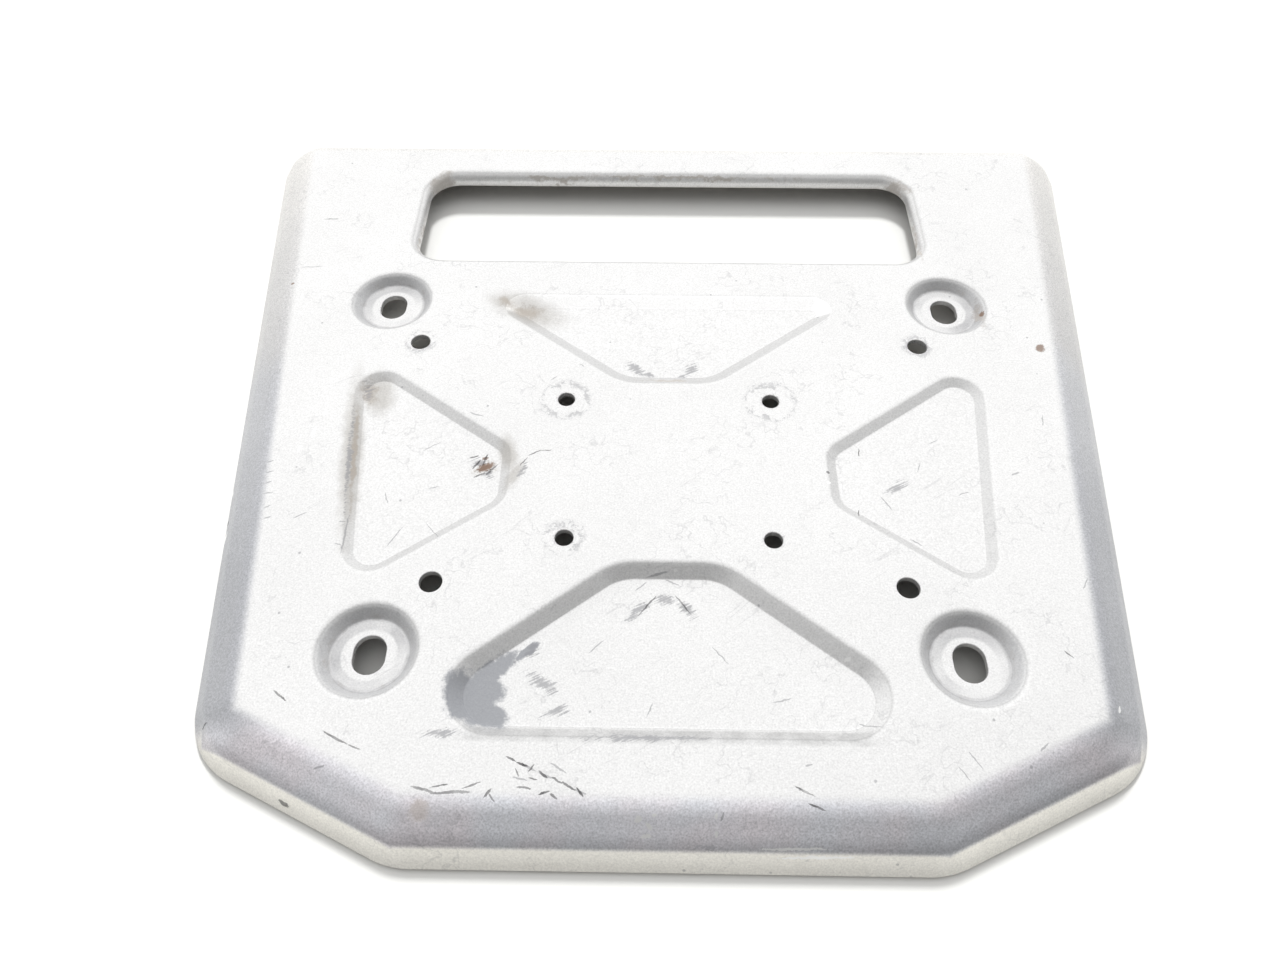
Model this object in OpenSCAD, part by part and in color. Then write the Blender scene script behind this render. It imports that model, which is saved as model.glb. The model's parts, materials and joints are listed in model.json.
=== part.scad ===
// Motorcycle luggage rack: one plate pressed from steel sheet.
// Seen from above, X is across the rack, +Y is its rear and Z is up.
// It stands on the trimmed edge of its rim, with the origin under the middle of its outline.

/* [Plate] */
// Thickness of the steel sheet
sheet = 2; // [1.5:0.1:2.5]
// Length of the rack from the front lip to the rear lip
rack_length = 293; // [285:1:320]
// Width between the side lips, measured where they would meet the rear lip
rear_width = 325.5; // [318:0.5:350]
// Angle by which each side closes in towards the front
side_taper = 7.6; // [6:0.1:8.5]
// Width of the straight front lip, between the two cut corners
front_width = 139; // [120:1:150]
// Distance along Y that each cut front corner takes
front_cut = 26.5; // [22:0.5:30]
// Distance from the middle of the outline forward to the middle of the pressed cross
cross_back = 29.5; // [27:0.5:32]

/* [Rim] */
// Height of the rack from the edge it stands on to its top face
rim_height = 13; // [12:0.5:18]
// Slope of the wide bevel, from the horizontal
bevel_angle = 35; // [33:1:40]
// Slope of the narrow lip below the crease, from the horizontal
lip_angle = 54; // [50:1:62]
// Height from the lip's outer edge to the crease, where the bevel and the lip would meet
lip_drop = 5.7; // [4.5:0.1:6.5]
// Inside radius of the soft roll from the top face into the bevel
roll_radius = 8; // [6:0.5:9]
// Inside radius of the soft crease between bevel and lip
crease_radius = 12; // [1:1:15]
// Radius of the flat top at the two rear corners, inside the roll
rear_corner_radius = 1; // [0.5:0.5:8]
// Radius of the flat top where each side meets its cut corner
side_corner_radius = 8; // [0.5:0.5:10]
// Radius of the flat top where each cut corner meets the front
front_corner_radius = 8; // [0.5:0.5:12]

/* [Pockets] */
// Depth of the rear pocket
rear_pocket_depth = 2.3; // [2:0.1:3]
// Slope of the walls of the rear pocket, from the horizontal
rear_pocket_slope = 25; // [24:1:50]
// Depth of the front pocket
front_pocket_depth = 3.5; // [2.5:0.1:3.5]
// Slope of the walls of the front pocket, from the horizontal
front_pocket_slope = 41; // [35:1:55]
// Depth of the two side pockets
side_pocket_depth = 1.8; // [1.5:0.1:3]
// Slope of the walls of the two side pockets, from the horizontal
side_pocket_slope = 27; // [26:1:50]
// Inside radius of the bends of the pockets and the bolt seats
press_radius = 1.1; // [0.8:0.1:1.5]
// Distance from the middle of the cross to the blunt tips of the front and rear pockets
long_tip = 33.3; // [31:0.1:36]
// Width of the blunt tips of the front and rear pockets
long_tip_width = 32; // [28:1:36]
// Angle at which the front and rear pockets open out, from the X axis
long_flank_angle = 38; // [37:0.5:40]
// Radius of the floor round the blunt tips of the front and rear pockets
long_tip_radius = 13.3; // [8:0.1:15]
// Length of the rear pocket along Y
rear_pocket_length = 44; // [40:1:46]
// Radius of the floor round the outer corners of the rear pocket
rear_pocket_radius = 1.5; // [1:0.1:2.5]
// Length of the front pocket along Y
front_pocket_length = 55; // [50:1:56]
// Radius of the floor round the outer corners of the front pocket
front_pocket_radius = 8.3; // [6:0.1:10]
// Distance from the middle of the cross to the blunt tips of the side pockets
side_tip = 48; // [46:0.5:50]
// Width of the blunt tips of the side pockets
side_tip_width = 22.2; // [18:0.1:23]
// Distance that the side pockets lie forward of the middle of the cross
side_tip_forward = 3.2; // [1:0.1:4]
// Angle at which the side pockets open out, from the X axis
side_flank_angle = 36; // [34:0.5:37]
// Distance from the side lip to the outer edge of the side pockets
side_pocket_margin = 38.3; // [37:0.1:42]
// Radius of the floor round all corners of the side pockets
side_pocket_radius = 5.3; // [3:0.1:6]

/* [Bolt seats] */
// Radius of the round bolt seats where they leave the top face
seat_radius = 15.5; // [14.5:0.1:16.5]
// Depth of the bolt seats
seat_depth = 3.5; // [2.5:0.1:4]
// Slope of the wall of the bolt seats, from the horizontal
seat_wall_angle = 50; // [40:1:60]
// Width of the bolt slots, clear of an M8 bolt
bolt_slot_width = 9; // [8.5:0.1:9.5]
// Length of the bolt slots along Y
bolt_slot_length = 11.6; // [10:0.1:13]
// Spacing across the rack of the two rear bolts
rear_bolt_spacing = 197; // [190:1:202]
// Spacing across the rack of the two front bolts
front_bolt_spacing = 164; // [160:1:170]
// Distance from the middle of the cross back to the rear bolts
rear_bolt_back = 72.8; // [71:0.1:74]
// Distance from the middle of the cross forward to the front bolts
front_bolt_forward = 63.4; // [62:0.1:65]

/* [Small holes] */
// Diameter of the outer four holes, clear of an M6 screw
outer_hole = 6.6; // [6:0.1:7]
// Spacing across the rack of the two rear outer holes
rear_outer_spacing = 170; // [166:1:172]
// Spacing across the rack of the two front outer holes
front_outer_spacing = 135.4; // [132:0.1:138]
// Distance from the middle of the cross back to the rear outer holes
rear_outer_back = 52.2; // [51:0.1:53]
// Distance from the middle of the cross forward to the front outer holes
front_outer_forward = 42.2; // [41:0.1:43]
// Diameter of the inner four holes, clear of an M5 screw
inner_hole = 5.5; // [5:0.1:6]
// Spacing across the rack of the two rear inner holes
rear_inner_spacing = 66.6; // [64:0.1:69]
// Spacing across the rack of the two front inner holes
front_inner_spacing = 61.4; // [59:0.1:64]
// Spacing along Y between the rear and the front inner holes
inner_length = 53.6; // [50:0.1:57]

/* [Hand slot] */
// Width of the hand slot between its flanges
hand_width = 189; // [170:1:192]
// Length of the hand slot along Y between its flanges
hand_length = 49; // [44:1:50]
// Distance from the rear lip to the hand slot
hand_margin = 30.5; // [29:0.5:33]
// Corner radius of the hand slot between its flanges
hand_corner_radius = 11; // [8:0.5:14]
// Inside radius of the roll from the top face into the flange
flange_radius = 2; // [1:0.1:3]
// Height of the flange, measured down from the top face
flange_height = 5.3; // [5.1:0.1:8]

/* [Hidden] */
$fn = 96;

// Clearance by which a cutting tool passes a face
pass = 1;
// Flat sheet by which a pressed form laps into the web beside it
lap = 0.6;
// Largest angle that one facet of a bend or of a rounded corner takes
bend_step = 12;
corner_step = 15;

// Outer face of the rim, from the top face down to the trimmed edge
trim_lift = sheet * cos(lip_angle);
bevel_drop = rim_height - lip_drop - trim_lift;
roll_setback = (roll_radius + sheet) * tan(bevel_angle / 2);
crease_bend = lip_angle - bevel_angle;
crease_setback = (crease_radius + sheet) * tan(crease_bend / 2);
bevel_length = bevel_drop / sin(bevel_angle);
lip_length = lip_drop / sin(lip_angle);
rim_run = roll_setback + bevel_drop / tan(bevel_angle) + lip_drop / tan(lip_angle);

// Lip outline: rear corners, side corners and front corners
rear_y = rack_length / 2;
front_y = -rear_y;
side_corner_y = front_y + front_cut;
function lip_x(y) = rear_width / 2 - (rear_y - y) * tan(side_taper);
lip_outline = [
    [rear_width / 2, rear_y],
    [-rear_width / 2, rear_y],
    [-lip_x(side_corner_y), side_corner_y],
    [-front_width / 2, front_y],
    [front_width / 2, front_y],
    [lip_x(side_corner_y), side_corner_y]
];
lip_radii = [
    for (r = [
        rear_corner_radius, rear_corner_radius, side_corner_radius,
        front_corner_radius, front_corner_radius, side_corner_radius
    ]) r + rim_run
];

// Middle of the pressed cross
cross_y = -cross_back;

// Run of a pressed wall that drops by a depth at an angle, between two like bends
function wall_setback(angle) = (press_radius + sheet) * tan(angle / 2);
function floor_setback(angle) = press_radius * tan(angle / 2);
function wall_run(depth, angle) = wall_setback(angle) + depth / tan(angle) + floor_setback(angle);
function wall_straight(depth, angle) = depth / sin(angle) - wall_setback(angle) - floor_setback(angle);

// Outlines of the pockets where they leave the top face, and their radii there
rear_pocket_run = wall_run(rear_pocket_depth, rear_pocket_slope);
front_pocket_run = wall_run(front_pocket_depth, front_pocket_slope);
side_pocket_run = wall_run(side_pocket_depth, side_pocket_slope);
function long_pocket(length, way) = let (
        tip_y = cross_y + way * long_tip,
        base_y = tip_y + way * length,
        tip_x = long_tip_width / 2,
        base_x = tip_x + length / tan(long_flank_angle)
    ) [[base_x, base_y], [-base_x, base_y], [-tip_x, tip_y], [tip_x, tip_y]];
rear_pocket_outline = long_pocket(rear_pocket_length, 1);
rear_pocket_radii = [
    for (r = [rear_pocket_radius, rear_pocket_radius, long_tip_radius, long_tip_radius])
        r + rear_pocket_run
];
front_pocket_seen = long_pocket(front_pocket_length, -1);
front_pocket_outline = [for (i = [3:-1:0]) front_pocket_seen[i]];
front_pocket_radii = [
    for (r = [long_tip_radius, long_tip_radius, front_pocket_radius, front_pocket_radius])
        r + front_pocket_run
];

side_tip_y = cross_y - side_tip_forward;
side_edge_0 = lip_x(0) - side_pocket_margin / cos(side_taper);
// Where a flank that starts at height y0 and rises by slope meets the outer edge of a side pocket
function side_meet(y0, slope) = let (
        x = (side_edge_0 + (y0 - slope * side_tip) * tan(side_taper)) / (1 - slope * tan(side_taper))
    ) [x, y0 + slope * (x - side_tip)];
right_pocket = [
    side_meet(side_tip_y + side_tip_width / 2, tan(side_flank_angle)),
    [side_tip, side_tip_y + side_tip_width / 2],
    [side_tip, side_tip_y - side_tip_width / 2],
    side_meet(side_tip_y - side_tip_width / 2, -tan(side_flank_angle))
];
left_pocket = [for (i = [3:-1:0]) [-right_pocket[i][0], right_pocket[i][1]]];
side_pockets = [right_pocket, left_pocket];
side_pocket_radii = [for (i = [0:3]) side_pocket_radius + side_pocket_run];

// Hand slot where its roll leaves the top face
flange_bend = flange_radius + sheet;
hand_x = hand_width / 2 + flange_bend;
hand_rear_y = rear_y - hand_margin + flange_bend;
hand_front_y = rear_y - hand_margin - hand_length - flange_bend;
hand_outline = [
    [hand_x, hand_rear_y], [-hand_x, hand_rear_y],
    [-hand_x, hand_front_y], [hand_x, hand_front_y]
];
hand_radii = [for (i = [0:3]) hand_corner_radius + flange_bend];

// Places of the bolt seats and the small holes, one row for each pair across the rack
seat_rows = [
    [rear_bolt_spacing / 2, cross_y + rear_bolt_back],
    [front_bolt_spacing / 2, cross_y - front_bolt_forward]
];
outer_rows = [
    [rear_outer_spacing / 2, cross_y + rear_outer_back],
    [front_outer_spacing / 2, cross_y - front_outer_forward]
];
inner_rows = [
    [rear_inner_spacing / 2, cross_y + inner_length / 2],
    [front_inner_spacing / 2, cross_y - inner_length / 2]
];

// Geometry of an outline whose corners are listed anticlockwise
function edge_way(p, i) = let (d = p[(i + 1) % len(p)] - p[i]) d / norm(d);
function edge_before(p, i) = edge_way(p, (i + len(p) - 1) % len(p));
function heading(d) = atan2(d[1], d[0]);
function outward(d) = [d[1], -d[0]];
function turn(p, i) = let (
        a = edge_before(p, i),
        b = edge_way(p, i)
    ) atan2(a[0] * b[1] - a[1] * b[0], a * b);
function corner_centre(p, r, i) = let (a = edge_before(p, i))
    p[i] - a * r[i] * tan(turn(p, i) / 2) - outward(a) * r[i];

// Points of an outline with its corners rounded by r, all moved outwards by grow
function rounded(p, r, grow = 0) = [
    for (i = [0:len(p) - 1])
        let (
            centre = corner_centre(p, r, i),
            sweep = turn(p, i),
            start = heading(edge_before(p, i)) - 90,
            steps = ceil(sweep / corner_step)
        )
        for (k = [0:steps])
            let (a = start + sweep * k / steps)
                centre + (r[i] + grow) * [cos(a), sin(a)]
];

// Points of a sheet's face, down below its upper face, along folds that start at a point.
// Each fold is a straight length, then a bend downwards (upwards if negative) and its inside radius.
function face_points(folds, at, down, aim = 0, i = 0) =
    i == len(folds) ? [] : let (
        bend = folds[i][1],
        side = bend > 0 ? 1 : -1,
        start = at + folds[i][0] * [cos(aim), sin(aim)],
        upper_radius = folds[i][2] + (bend > 0 ? sheet : 0),
        centre = start - side * upper_radius * [-sin(aim), cos(aim)],
        steps = ceil(abs(bend) / bend_step)
    ) concat(
        [
            for (k = [0:steps])
                if (k > 0 || folds[i][0] > 0)
                    let (
                        a = steps > 0 ? aim - bend * k / steps : aim,
                        across = [-sin(a), cos(a)]
                    )
                    steps > 0 ? centre + (side * upper_radius - down) * across : start - down * across
        ],
        face_points(
            folds,
            centre + side * upper_radius * [-sin(aim - bend), cos(aim - bend)],
            down, aim - bend, i + 1
        )
    );

// Closed section of the sheet along its folds
function sheet_section(folds, at) = concat(
    [at], face_points(folds, at, 0),
    [for (points = [concat([at - [0, sheet]], face_points(folds, at, sheet))])
        for (k = [len(points) - 1:-1:0]) points[k]]
);

// Sweeps a closed section, given as [distance outwards, height], round an outline
module swept(p, r, section) {
    rings = [for (s = section) [for (q = rounded(p, r, s[0])) [q[0], q[1], s[1]]]];
    count = len(rings[0]);
    polyhedron(
        points = [for (ring = rings) each ring],
        faces = [
            for (j = [0:len(rings) - 1])
                for (i = [0:count - 1])
                    let (
                        a = j * count,
                        b = (j + 1) % len(rings) * count,
                        next = (i + 1) % count
                    )
                    [a + i, a + next, b + next, b + i]
        ]
    );
}

// A flat web of sheet inside an outline, with its upper face at a height
module web(p, r, grow, height) {
    translate([0, 0, height - sheet])
        linear_extrude(sheet)
            polygon(rounded(p, r, grow));
}

// Folds of a wall that rises from a sunk web to the top face, with a lap of flat sheet at both ends
function wall_folds(depth, angle) = [
    [lap, -angle, press_radius],
    [wall_straight(depth, angle), angle, press_radius],
    [lap, 0, 0]
];
function wall_section(depth, angle) =
    sheet_section(wall_folds(depth, angle), [-wall_run(depth, angle) - lap, rim_height - depth]);

rim_folds = [
    [lap, bevel_angle, roll_radius],
    [bevel_length - roll_setback - crease_setback, crease_bend, crease_radius],
    [lip_length - crease_setback, 0, 0]
];
flange_folds = [
    [lap, 90, flange_radius],
    [flange_height - flange_bend, 0, 0]
];

module pocket(p, r, depth, angle) {
    swept(p, r, wall_section(depth, angle));
    web(p, r, -wall_run(depth, angle) - lap / 2, rim_height - depth);
}

// Round seat, turned from one section that runs from its middle to the top face
module bolt_seat() {
    floor_radius = seat_radius - wall_run(seat_depth, seat_wall_angle);
    folds = [
        [floor_radius, -seat_wall_angle, press_radius],
        [wall_straight(seat_depth, seat_wall_angle), seat_wall_angle, press_radius],
        [lap, 0, 0]
    ];
    rotate_extrude()
        polygon(sheet_section(folds, [0, rim_height - seat_depth]));
}

module hand_flange() {
    section = sheet_section(flange_folds, [-lap, rim_height]);
    swept(hand_outline, hand_radii, [for (k = [len(section) - 1:-1:0]) [-section[k][0], section[k][1]]]);
}

module rim() {
    swept(lip_outline, lip_radii, sheet_section(rim_folds, [-rim_run - lap, rim_height]));
}

module bolt_slot() {
    ends = (bolt_slot_length - bolt_slot_width) / 2;
    for (way = [-1, 1])
        translate([0, way * ends, 0])
            cylinder(h = rim_height + pass, d = bolt_slot_width);
    translate([-bolt_slot_width / 2, -ends, 0])
        cube([bolt_slot_width, 2 * ends, rim_height + pass]);
}

// Repeats its children at both ends of each row
module at_rows(rows) {
    for (row = rows)
        for (side = [-1, 1])
            translate([side * row[0], row[1], 0])
                children();
}

// The flat top web, with the blank opened for each pressed form
module top_web() {
    translate([0, 0, rim_height - sheet])
        linear_extrude(sheet)
            difference() {
                polygon(rounded(lip_outline, lip_radii, -rim_run - lap / 2));
                polygon(rounded(rear_pocket_outline, rear_pocket_radii, lap / 2));
                polygon(rounded(front_pocket_outline, front_pocket_radii, lap / 2));
                for (side = side_pockets)
                    polygon(rounded(side, side_pocket_radii, lap / 2));
                polygon(rounded(hand_outline, hand_radii, lap / 2));
                at_rows(seat_rows)
                    circle(seat_radius + lap / 2);
            }
}

module rack_plate() {
    color("silver")
        difference() {
            union() {
                top_web();
                rim();
                hand_flange();
                pocket(rear_pocket_outline, rear_pocket_radii, rear_pocket_depth, rear_pocket_slope);
                pocket(front_pocket_outline, front_pocket_radii, front_pocket_depth, front_pocket_slope);
                for (side = side_pockets)
                    pocket(side, side_pocket_radii, side_pocket_depth, side_pocket_slope);
                at_rows(seat_rows)
                    bolt_seat();
            }
            at_rows(seat_rows)
                bolt_slot();
            at_rows(outer_rows)
                cylinder(h = rim_height + pass, d = outer_hole);
            at_rows(inner_rows)
                cylinder(h = rim_height + pass, d = inner_hole);
        }
}

rack_plate();
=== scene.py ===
"""Looks of the motorcycle luggage rack: one pressed steel plate in worn silver paint.

Lengths of the plate are in millimetres, as a press shop gives them, and its mesh is scaled to
metres at the end. X is across the rack, +Y is its rear, Z is up from the floor.
"""

import json
from math import atan2, ceil, cos, degrees, pi, radians, sin, tan

import bmesh
import bpy
from mathutils import Matrix, Vector


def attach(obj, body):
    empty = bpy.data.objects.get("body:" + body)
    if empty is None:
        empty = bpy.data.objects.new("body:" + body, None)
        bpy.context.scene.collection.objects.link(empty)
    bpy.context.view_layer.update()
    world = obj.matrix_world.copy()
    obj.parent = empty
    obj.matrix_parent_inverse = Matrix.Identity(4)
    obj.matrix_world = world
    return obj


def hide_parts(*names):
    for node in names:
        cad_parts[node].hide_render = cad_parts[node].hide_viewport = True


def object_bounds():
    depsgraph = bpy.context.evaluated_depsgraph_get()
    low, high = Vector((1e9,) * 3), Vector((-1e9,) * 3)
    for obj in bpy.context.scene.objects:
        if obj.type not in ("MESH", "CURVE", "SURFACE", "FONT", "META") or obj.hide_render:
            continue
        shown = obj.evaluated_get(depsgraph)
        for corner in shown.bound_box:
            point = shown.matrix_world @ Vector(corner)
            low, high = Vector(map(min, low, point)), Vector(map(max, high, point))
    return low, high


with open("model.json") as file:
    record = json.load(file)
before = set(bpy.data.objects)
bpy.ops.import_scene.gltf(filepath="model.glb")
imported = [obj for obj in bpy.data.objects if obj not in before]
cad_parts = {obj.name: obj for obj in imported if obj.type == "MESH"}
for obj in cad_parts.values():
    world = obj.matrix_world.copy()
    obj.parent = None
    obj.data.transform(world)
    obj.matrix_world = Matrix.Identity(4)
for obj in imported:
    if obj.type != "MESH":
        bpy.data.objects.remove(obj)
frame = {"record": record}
cad_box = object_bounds()

MM = 0.001

# Sheet and outline
SHEET = 2.0
LENGTH = (cad_box[1].y - cad_box[0].y) / MM
HEIGHT = cad_box[1].z / MM
REAR_WIDTH = 325.5
SIDE_TAPER = 7.6
FRONT_WIDTH = 139.0
FRONT_CUT = 26.5
CROSS_Y = -29.5

# Rim: roll, bevel, soft crease and lip
BEVEL_ANGLE = 35.0
LIP_ANGLE = 54.0
LIP_DROP = 5.7
ROLL_RADIUS = 8.0
CREASE_RADIUS = 3.0
REAR_CORNER = 1.0
SIDE_CORNER = 8.0
FRONT_CORNER = 8.0

# Pockets: depth and wall slope of each
REAR_POCKET = (2.3, 25.0)
FRONT_POCKET = (3.5, 41.0)
SIDE_POCKET = (1.8, 27.0)
PRESS_RADIUS = 1.1
LONG_TIP = 33.3
LONG_TIP_WIDTH = 32.0
LONG_FLANK = 38.0
LONG_TIP_RADIUS = 13.3
REAR_POCKET_LENGTH = 44.0
REAR_POCKET_RADIUS = 1.5
FRONT_POCKET_LENGTH = 55.0
FRONT_POCKET_RADIUS = 8.3
SIDE_TIP = 48.0
SIDE_TIP_WIDTH = 22.2
SIDE_TIP_FORWARD = 3.2
SIDE_FLANK = 36.0
SIDE_POCKET_MARGIN = 38.3
SIDE_POCKET_RADIUS = 5.3

# Bolt seats and hand slot
SEAT_RADIUS = 15.5
SEAT_DEPTH = 3.5
SEAT_WALL = 50.0
HAND_WIDTH = 189.0
HAND_LENGTH = 49.0
HAND_MARGIN = 30.5
HAND_CORNER = 11.0
FLANGE_RADIUS = 2.0
FLANGE_HEIGHT = 5.3

# Knocks on the rim: the middle of each, its reach, and the push at its middle
KNOCKS = [
    ((-126.0, -112.5, 5.5), 7.0, (1.0, 0.5, -0.5)),
    ((-137.8, -46.0, 6.5), 5.0, (0.5, 0.0, -0.3)),
]

# Fineness of the mesh: turn of one facet, longest flat facet, flat lap beside a bend
BEND_STEP = 5.0
CORNER_STEP = 5.0
FLAT_STEP = 1.6
LAP = 0.4
HOLE_SEGMENTS = 50
ROUND_STEPS = 72
TRIM_EDGE = 0.25
MERGE = 0.002

# Camera: as the photograph was taken, 1280 by 960
LENS = 26.44
CAMERA_PLACE = (-5.57, -205.08, 245.33)
CAMERA_PITCH = 53.798
CAMERA_YAW = 1.075
CAMERA_ROLL = -0.204

# Wear, with some painted shade and painted highlights among it, in millimetres. A mark is (x, y from the
# middle of the cross, length, width, turn in degrees).
SCRATCHES = [
    (-60, 1, 6, 0.9, 60), (-57.5, 3, 6, 0.8, 78), (-55, -1, 7, 0.9, 50), (-58.5, -3, 5, 0.7, 30),
    (-61, 4, 4, 0.8, 20), (-45, 1, 5, 0.6, 60), (-42, 4.5, 6, 0.5, 30), (-38.5, 5.5, 5, 0.4, 5),
    (60, 7.5, 4, 0.5, 85), (57, -16, 3.5, 0.5, 80), (49.1, -1.7, 1.6, 1.2, 0), (-6, -47, 11, 0.6, 52),
    (4, -46.5, 9, 0.6, -54), (-61, -100.9, 8, 0.9, -14), (-54, -101.6, 13, 1.0, 3),
    (-49, -99.8, 6, 0.6, 20), (-57, -100, 6, 0.5, 12), (-44.8, -101.6, 4, 0.8, 55),
    (-43.8, -102.7, 3, 0.7, -50), (-102.2, -77, 6, 0.8, -38), (-85.4, -88.2, 10, 0.8, -26),
    (-80, -90.5, 5, 0.5, -18), (33.3, -100, 7, 0.7, -28), (36.2, -103.8, 6, 0.7, -20),
    (107.7, -62, 4, 0.5, -45), (-137, -16.4, 3, 1.4, 70), (-123, -82.8, 3, 1.0, 15),
    (-98.1, -102.1, 4, 1.0, -30), (-40, -93, 4, 0.7, -25), (-37, -94.3, 4, 0.8, -20),
    (-34.5, -95.2, 3, 0.6, 60), (-31.5, -96.8, 4, 0.8, -35), (-28, -98.2, 4, 0.7, -28),
    (-25, -99.6, 5, 0.8, -30), (-22, -101.2, 4, 0.8, -50), (-36, -100.2, 5, 0.7, -8),
    (-31, -101.4, 4, 0.7, 20), (-28.5, -102.2, 3, 0.8, -40), (-38, -96.5, 3, 0.5, -60),
    (-34, -98, 3, 0.5, -10), (-129.5, 117.2, 7, 0.6, 3),
]
FAINT_SCRATCHES = [
    (-95.4, -26, 19, 0.7, 92), (-97, -22, 3, 0.5, 10), (-96.5, -30, 3, 0.5, -15),
    (-81, -26, 12, 0.5, 62), (-70, -24, 11, 0.4, -50), (-124, 0, 3, 0.6, 20), (-123, -4, 3.5, 0.6, 15),
    (-122.4, -8, 3, 0.6, 25), (-121.5, -12, 4, 0.6, 10), (-120.6, -17, 3, 0.6, 20),
    (-119.6, -21, 3.5, 0.6, 15), (-131, 89.8, 11, 0.6, 4), (-38, 36, 4, 0.6, 40),
    (-29, 42, 3, 0.6, -30), (106.5, -1.5, 4, 0.8, 20), (84, 12, 5, 0.5, 30), (73, -26, 6, 0.5, -35),
    (-3, -37.3, 9, 0.7, 12), (1, -39.5, 6, 0.6, -25), (-8, -41, 6, 0.6, 40), (-35, -95.2, 5, 0.8, -28),
    (-31, -97, 6, 0.9, -22), (-22, -101, 5, 0.9, -20), (-28, -95, 7, 0.7, -30), (-37, -98, 6, 0.7, -10),
    (35, -93.5, 2.5, 0.7, 15), (77, -91.5, 8, 0.5, -60), (73.5, -95, 6, 0.5, -55),
    (-62, 20, 7, 0.6, -20), (-75, 8, 9, 0.5, 35), (-86, -12, 6, 0.6, -70), (-72, -8, 5, 0.6, 15),
    (13, -106, 3, 0.8, 70), (-88, -95.5, 4, 0.8, 10), (95, -88, 5, 0.7, 40), (-110, -20, 6, 0.5, 30),
    (66, -12, 8, 0.6, -60), (78, 2, 6, 0.5, 70), (90, -8, 5, 0.6, 20), (-20, -60, 8, 0.6, 45),
    (14, -62, 9, 0.5, -50), (30, -75, 7, 0.6, 15), (-5, -78, 6, 0.5, 70), (52, -82, 8, 0.6, -20),
    (120, 20, 7, 0.5, 80), (118, -40, 6, 0.5, 60),
]
SCUFFS = [
    (-58.5, 1, 12, 9, 5), (-56, -3, 9, 6, -40), (-11, 42.5, 16, 7, -38), (-6, 39.5, 9, 4, -20),
    (8, 43, 14, 8, 42), (5, 39.5, 7, 4, 10), (-6, -87, 72, 4.5, 1), (-9, -49, 18, 9, 48),
    (5, -48, 16, 7, -50), (-1, -45, 12, 8, 0), (-99.4, 0, 84, 3.2, 97.5), (-45, -2, 15, 4, 72),
    (-99, 30, 16, 8, 97), (9, -112.5, 12, 2.2, 2), (-59, -86.5, 22, 5, 6), (70, -6, 18, 6, 35),
    (-34, -71, 22, 9, -35), (-30, -79, 16, 6, 20), (-38, -62, 12, 6, 40),
]
# Dark smears rubbed into the left corner of the front pocket
SMEARS = [
    (-54, -76, 24, 17, -72), (-48, -68, 24, 9, 40), (-48, -80, 20, 11, -20), (-50, -74, 18, 15, 0),
    (-39, -62, 12, 4, 42),
]
# Grime, and along the rolled rear edge and the ends of the hand slot painted shade on the roll.
GRIME_AND_SHADE = [
    (-57, 72, 13, 9, -15), (-50, 69, 22, 11, -12), (-98.3, 2, 80, 2, 97.5), (-99, 29, 18, 11, 97),
    (-100.5, 17, 20, 2.5, 97), (-60.8, -105.8, 12, 9, -20), (110, 70, 22, 6, 88),
    (-91, 142.5, 20, 9, 45), (91, 142.5, 20, 9, -45), (-94, 112, 46, 3, 90), (94, 112, 46, 3, 90),
    (0, 146.6, 150, 1.6, 0), (-45, 146.2, 60, 1.8, 0), (0, 36.5, 34, 3, 0), (-57, 0, 13, 9, 20),
]
RUST = [
    (126.7, 52.2, 6, 5, 70), (-57, 0, 9, 5, 30), (-57.5, 3.4, 3, 2, 0), (111, 70, 5, 2, 85),
    (-136, 81, 2, 1.6, 0),
]
# Chips in the paint; the last two long lines along the front crease are painted highlights.
CHIPS_AND_HIGHLIGHTS = [
    (-7.5, -106.8, 3, 2.2, 30), (-5, -108.2, 3.5, 1.4, -40), (-5.5, -110.2, 4, 1.4, 10),
    (-3.6, -106, 2, 1, 0), (11.5, -105.8, 2.4, 1.2, 88), (11.5, -109.6, 2.4, 1.2, 88),
    (49, -5.5, 2.6, 1.6, 30), (2, -36.3, 2, 1.6, 0), (48.5, -63.4, 2.4, 1.8, 40),
    (117.5, -77.1, 3, 1.2, 70), (-113, 12, 8, 1.6, 85), (-111, 20, 5, 1.4, 80), (-116, 5, 5, 1.2, 80),
    (-138.8, -6, 8, 1.6, 79), (-136, -22, 7, 1.4, 79), (-139.8, 0, 4, 1.2, 79),
    (31, -112.3, 26, 0.9, 1), (36, -113.8, 30, 0.8, 1),
]
# Thin even haze of dirt
HAZE = [
    (-50, 69.5, 38, 19, -20), (-57, 72.5, 20, 12, -10), (-95.5, 29, 24, 15, 97),
    (-99.5, 4, 90, 9, 97.5), (-50, 4, 22, 8, 105), (-47.5, -4, 16, 6, 70),
]
# Middles of the bolt seats on the right, in millimetres across the plate and along it
SEATS = [(98.5, 43.3), (82.0, -92.9)]
# Small holes on the right with chipped paint: x, y, radius of the ring, and the side if only one is chipped
CHIPPED_HOLES = [(33.3, -2.7, 8.6, 0), (30.7, -56.3, 6.2, -1), (85.0, 22.7, 5.6, 0)]

# Where the painted shade, the painted highlight and the wear lie: start, full, fading and end. Along the
# plate's Y:
REAR_WALL_STRETCH = (38, 40.5, 49, 51)
REAR_FLANK_STRETCH = (1, 4, 37, 40)
FRONT_WALL_STRETCH = (-118.5, -117, -114, -112.8)
# Outwards from the middle of a bolt seat
SEAT_WORN_RING = (7.2, 8.2, 10.2, 10.8)
# The floor edge and the wall ring are painted shade in the seat's hollow.
SEAT_FOOT_SHADE = (9.7, 10.5, 10.8, 11.8)
SEAT_WALL_SHADE = (10.3, 11.5, 12.3, 15.0)
SEAT_DIRT_RING = (9.2, 10.4, 11.5, 14.5)
SLOT_BARE_RING = (4.4, 4.9, 5.3, 6.2)
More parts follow.
